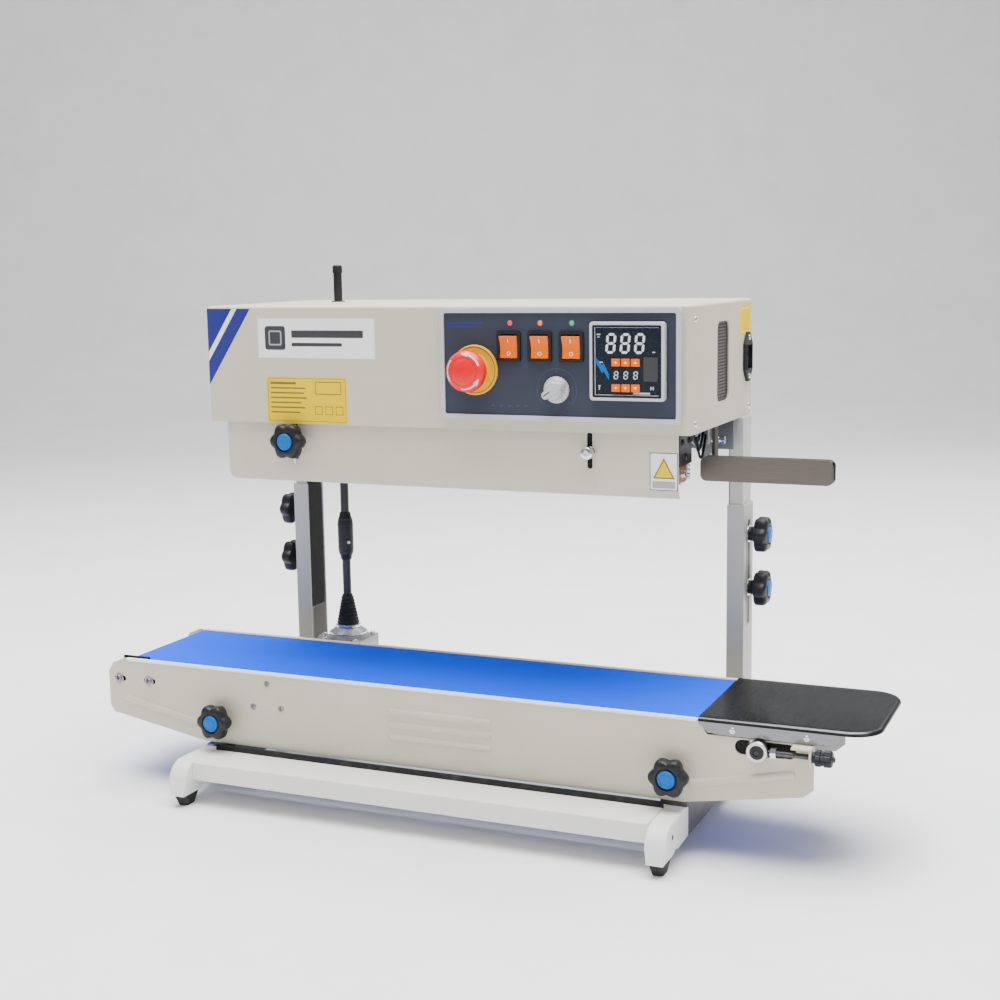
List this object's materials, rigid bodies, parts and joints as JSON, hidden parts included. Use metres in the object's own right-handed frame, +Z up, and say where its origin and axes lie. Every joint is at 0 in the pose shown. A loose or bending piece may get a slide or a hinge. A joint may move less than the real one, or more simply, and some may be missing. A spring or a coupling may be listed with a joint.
{
  "type": "continuous band sealer",
  "caption": "Continuous band sealer: a control head with sealing bands, on two height-adjustable columns over a belt conveyor with an infeed tray, all on a steel base.",
  "frame": {"origin": "on the floor, at the centre of the machine's bounding box", "axes": "+X to the right, towards the infeed tray, along the conveyor; -Y to the front, where the control panel faces; +Z up"},
  "size_m": [0.82, 0.38, 0.545],
  "materials": {
    "body_paint": "satin powder coat",
    "base_paint": "satin powder coat",
    "beam_paint": "satin powder coat",
    "foot_plastic": "moulded",
    "column_paint": "satin powder coat",
    "post_steel": "satin",
    "rubber": "matt",
    "belt_blue": "glossy",
    "stainless": "brushed",
    "chrome": "polished",
    "machined_steel": "turned",
    "aluminium": "cast",
    "black_plastic": "moulded",
    "black_steel": "oiled",
    "panel": "satin film",
    "orange": "translucent",
    "red": "glossy",
    "yellow": "glossy",
    "silver_plastic": "metallised",
    "brass": "oxidised",
    "ptfe": "coated glass cloth",
    "motor_grey": "satin",
    "guard_paint": "satin powder coat"
  },
  "bodies": {
    "base": {"base_beams": "beam_paint", "cross_bars": "base_paint", "foot_caps": "foot_plastic", "base_rubber": "rubber", "outer_columns": "column_paint"},
    "conveyor": {"conveyor_front_plate": "body_paint", "conveyor_rear_plate": "body_paint", "slider_bed": "stainless", "conveyor_belt": "belt_blue", "feeding_tray": "stainless", "bevel_gearbox": "aluminium"},
    "head": {"head_casing": "body_paint", "head_base_plate": "machined_steel", "inner_posts": "post_steel", "control_panel": "panel", "temperature_controller": "black_plastic", "switch_bezels": "black_plastic", "estop_body": "yellow", "power_inlet": "black_plastic", "cooling_fan_frame": "black_plastic", "bag_guide": "stainless", "heating_blocks": "brass", "cooling_blocks": "aluminium", "sealing_bands": "ptfe", "drive_motor": "motor_grey"},
    "drive_roller": {"drive_roller": "machined_steel"},
    "drive_shaft": {"drive_shaft": "black_steel"},
    "end_roller": {"end_roller": "machined_steel"},
    "tension_roller": {"tension_roller": "machined_steel"},
    "tension_carriage": {"tension_carriage": "chrome"},
    "tension_knob": {"tension_knob": "black_plastic"},
    "conveyor_knob_left": {"conveyor_knob_left": "black_plastic"},
    "conveyor_knob_right": {"conveyor_knob_right": "black_plastic"},
    "column_knob_left_lower": {"column_knob_left_lower": "black_plastic"},
    "column_knob_left_upper": {"column_knob_left_upper": "black_plastic"},
    "column_knob_right_lower": {"column_knob_right_lower": "black_plastic"},
    "column_knob_right_upper": {"column_knob_right_upper": "black_plastic"},
    "estop_button": {"estop_button": "red"},
    "speed_knob": {"speed_knob": "silver_plastic"},
    "fan_rotor": {"fan_rotor": "black_plastic"},
    "motor_pinion": {"motor_pinion": "machined_steel"},
    "shaft_gear": {"shaft_gear": "machined_steel"},
    "drive_wheel_front": {"drive_wheel_front": "machined_steel"},
    "drive_wheel_rear": {"drive_wheel_rear": "machined_steel"},
    "idle_wheel_front": {"idle_wheel_front": "machined_steel"},
    "idle_wheel_rear": {"idle_wheel_rear": "machined_steel"},
    "press_wheel_front": {"press_wheel_front": "rubber"},
    "press_wheel_rear": {"press_wheel_rear": "rubber"},
    "front_guard": {"front_guard": "guard_paint"},
    "guard_knob": {"guard_knob": "black_plastic"},
    "guard_thumbscrew": {"guard_thumbscrew": "chrome"},
    "rocker_switch_left": {"rocker_switch_left": "orange"},
    "rocker_switch_middle": {"rocker_switch_middle": "orange"},
    "rocker_switch_right": {"rocker_switch_right": "orange"},
    "digit_button_upper_left": {"digit_button_upper_left": "orange"},
    "digit_button_upper_middle": {"digit_button_upper_middle": "orange"},
    "digit_button_upper_right": {"digit_button_upper_right": "orange"},
    "digit_button_lower_left": {"digit_button_lower_left": "orange"},
    "digit_button_lower_middle": {"digit_button_lower_middle": "orange"},
    "digit_button_lower_right": {"digit_button_lower_right": "orange"}
  },
  "joints": [
    {"name": "head_height", "type": "slide", "parent": "base", "child": "head", "axis": [0, 0, 1], "range_m": [-0.03, 0.01]},
    {"name": "conveyor_height", "type": "slide", "parent": "base", "child": "conveyor", "axis": [0, 0, 1], "range_m": [-0.005, 0.01]},
    {"name": "column_knob_left_lower_turn", "type": "hinge", "parent": "head", "child": "column_knob_left_lower", "pos_m": [-0.2925, 0.095, 0.21], "axis": [-1, 0, 0], "range_deg": [0, 360]},
    {"name": "column_knob_left_upper_turn", "type": "hinge", "parent": "head", "child": "column_knob_left_upper", "pos_m": [-0.2925, 0.095, 0.266], "axis": [-1, 0, 0], "range_deg": [0, 360]},
    {"name": "column_knob_right_lower_turn", "type": "hinge", "parent": "head", "child": "column_knob_right_lower", "pos_m": [0.2365, 0.095, 0.21], "axis": [1, 0, 0], "range_deg": [0, 360]},
    {"name": "column_knob_right_upper_turn", "type": "hinge", "parent": "head", "child": "column_knob_right_upper", "pos_m": [0.2365, 0.095, 0.266], "axis": [1, 0, 0], "range_deg": [0, 360]},
    {"name": "conveyor_knob_left_turn", "type": "hinge", "parent": "base", "child": "conveyor_knob_left", "pos_m": [-0.2675, -0.124, 0.078], "axis": [0, -1, 0], "range_deg": [0, 360]},
    {"name": "conveyor_knob_right_turn", "type": "hinge", "parent": "base", "child": "conveyor_knob_right", "pos_m": [0.224, -0.124, 0.078], "axis": [0, -1, 0], "range_deg": [0, 360]},
    {"name": "band_drive_turn", "type": "hinge", "parent": "head", "child": "drive_wheel_rear", "pos_m": [-0.16902, 0.014, 0.35], "axis": [0, 0, 1], "continuous": true},
    {"name": "drive_wheel_front_turn", "type": "hinge", "parent": "head", "child": "drive_wheel_front", "pos_m": [-0.16902, -0.046, 0.35], "axis": [0, 0, 1], "continuous": true},
    {"name": "shaft_gear_turn", "type": "hinge", "parent": "head", "child": "shaft_gear", "pos_m": [-0.21, 0.048, 0.4], "axis": [0, 0, 1], "continuous": true},
    {"name": "motor_pinion_turn", "type": "hinge", "parent": "head", "child": "motor_pinion", "pos_m": [-0.13229, 0.04, 0.4], "axis": [0, 0, 1], "continuous": true},
    {"name": "idle_wheel_rear_turn", "type": "hinge", "parent": "head", "child": "idle_wheel_rear", "pos_m": [0.12298, 0.014, 0.35], "axis": [0, 0, 1], "continuous": true},
    {"name": "idle_wheel_front_turn", "type": "hinge", "parent": "head", "child": "idle_wheel_front", "pos_m": [0.12298, -0.046, 0.35], "axis": [0, 0, 1], "continuous": true},
    {"name": "press_wheel_rear_turn", "type": "hinge", "parent": "head", "child": "press_wheel_rear", "pos_m": [-0.118, -0.0009, 0.35], "axis": [0, 0, 1], "continuous": true},
    {"name": "press_wheel_front_turn", "type": "hinge", "parent": "head", "child": "press_wheel_front", "pos_m": [-0.118, -0.0311, 0.35], "axis": [0, 0, 1], "continuous": true},
    {"name": "drive_shaft_turn", "type": "hinge", "parent": "conveyor", "child": "drive_shaft", "pos_m": [-0.21, 0.048, 0.2], "axis": [0, 0, 1], "continuous": true},
    {"name": "drive_roller_turn", "type": "hinge", "parent": "conveyor", "child": "drive_roller", "pos_m": [-0.21, 0, 0.104], "axis": [0, 1, 0], "continuous": true},
    {"name": "end_roller_turn", "type": "hinge", "parent": "conveyor", "child": "end_roller", "pos_m": [-0.377, 0, 0.11], "axis": [0, 1, 0], "continuous": true},
    {"name": "tension_carriage_slide", "type": "slide", "parent": "conveyor", "child": "tension_carriage", "axis": [1, 0, 0], "range_m": [-0.006, 0]},
    {"name": "tension_roller_turn", "type": "hinge", "parent": "tension_carriage", "child": "tension_roller", "pos_m": [0.305, 0, 0.11], "axis": [0, 1, 0], "continuous": true},
    {"name": "tension_knob_turn", "type": "hinge", "parent": "conveyor", "child": "tension_knob", "pos_m": [0.364, -0.131, 0.11], "axis": [1, 0, 0], "range_deg": [0, 2160]},
    {"name": "fan_rotor_turn", "type": "hinge", "parent": "head", "child": "fan_rotor", "pos_m": [0.06, 0.07, 0.4], "axis": [0, 0, 1], "continuous": true},
    {"name": "front_guard_height", "type": "slide", "parent": "head", "child": "front_guard", "axis": [0, 0, 1], "range_m": [-0.013, 0.012]},
    {"name": "guard_knob_turn", "type": "hinge", "parent": "head", "child": "guard_knob", "pos_m": [-0.1885, -0.09, 0.37], "axis": [0, -1, 0], "range_deg": [0, 360]},
    {"name": "guard_thumbscrew_turn", "type": "hinge", "parent": "head", "child": "guard_thumbscrew", "pos_m": [0.131, -0.09, 0.368], "axis": [0, -1, 0], "range_deg": [0, 360]},
    {"name": "rocker_switch_left_tip", "type": "hinge", "parent": "head", "child": "rocker_switch_left", "pos_m": [0.0537, -0.094, 0.467], "axis": [1, 0, 0], "range_deg": [-16, 0]},
    {"name": "rocker_switch_middle_tip", "type": "hinge", "parent": "head", "child": "rocker_switch_middle", "pos_m": [0.0852, -0.094, 0.467], "axis": [1, 0, 0], "range_deg": [-16, 0]},
    {"name": "rocker_switch_right_tip", "type": "hinge", "parent": "head", "child": "rocker_switch_right", "pos_m": [0.1167, -0.094, 0.467], "axis": [1, 0, 0], "range_deg": [-16, 0]},
    {"name": "estop_press", "type": "slide", "parent": "head", "child": "estop_button", "axis": [0, 1, 0], "range_m": [0, 0.005], "stiffness_N_per_m": 400},
    {"name": "speed_knob_turn", "type": "hinge", "parent": "head", "child": "speed_knob", "pos_m": [0.1015, -0.095, 0.427], "axis": [0, 1, 0], "range_deg": [0, 280]},
    {"name": "digit_button_upper_left_press", "type": "slide", "parent": "head", "child": "digit_button_upper_left", "axis": [0, 1, 0], "range_m": [0, 0.001], "stiffness_N_per_m": 150},
    {"name": "digit_button_upper_middle_press", "type": "slide", "parent": "head", "child": "digit_button_upper_middle", "axis": [0, 1, 0], "range_m": [0, 0.001], "stiffness_N_per_m": 150},
    {"name": "digit_button_upper_right_press", "type": "slide", "parent": "head", "child": "digit_button_upper_right", "axis": [0, 1, 0], "range_m": [0, 0.001], "stiffness_N_per_m": 150},
    {"name": "digit_button_lower_left_press", "type": "slide", "parent": "head", "child": "digit_button_lower_left", "axis": [0, 1, 0], "range_m": [0, 0.001], "stiffness_N_per_m": 150},
    {"name": "digit_button_lower_middle_press", "type": "slide", "parent": "head", "child": "digit_button_lower_middle", "axis": [0, 1, 0], "range_m": [0, 0.001], "stiffness_N_per_m": 150},
    {"name": "digit_button_lower_right_press", "type": "slide", "parent": "head", "child": "digit_button_lower_right", "axis": [0, 1, 0], "range_m": [0, 0.001], "stiffness_N_per_m": 150}
  ],
  "couplings": [
    {"joint": "drive_wheel_front_turn", "follows": "band_drive_turn", "ratio": -1},
    {"joint": "shaft_gear_turn", "follows": "band_drive_turn", "ratio": -1.2903},
    {"joint": "motor_pinion_turn", "follows": "band_drive_turn", "ratio": -2},
    {"joint": "idle_wheel_rear_turn", "follows": "band_drive_turn", "ratio": 1},
    {"joint": "idle_wheel_front_turn", "follows": "band_drive_turn", "ratio": -1},
    {"joint": "press_wheel_rear_turn", "follows": "band_drive_turn", "ratio": 2.0676},
    {"joint": "press_wheel_front_turn", "follows": "band_drive_turn", "ratio": -2.0676},
    {"joint": "drive_shaft_turn", "follows": "band_drive_turn", "ratio": -1.2903},
    {"joint": "drive_roller_turn", "follows": "band_drive_turn", "ratio": 1.2903},
    {"joint": "end_roller_turn", "follows": "band_drive_turn", "ratio": 1.3813},
    {"joint": "tension_roller_turn", "follows": "band_drive_turn", "ratio": 1.3813},
    {"joint": "tension_knob_turn", "follows": "tension_carriage_slide", "rad_per_m": -6283.2}
  ]
}
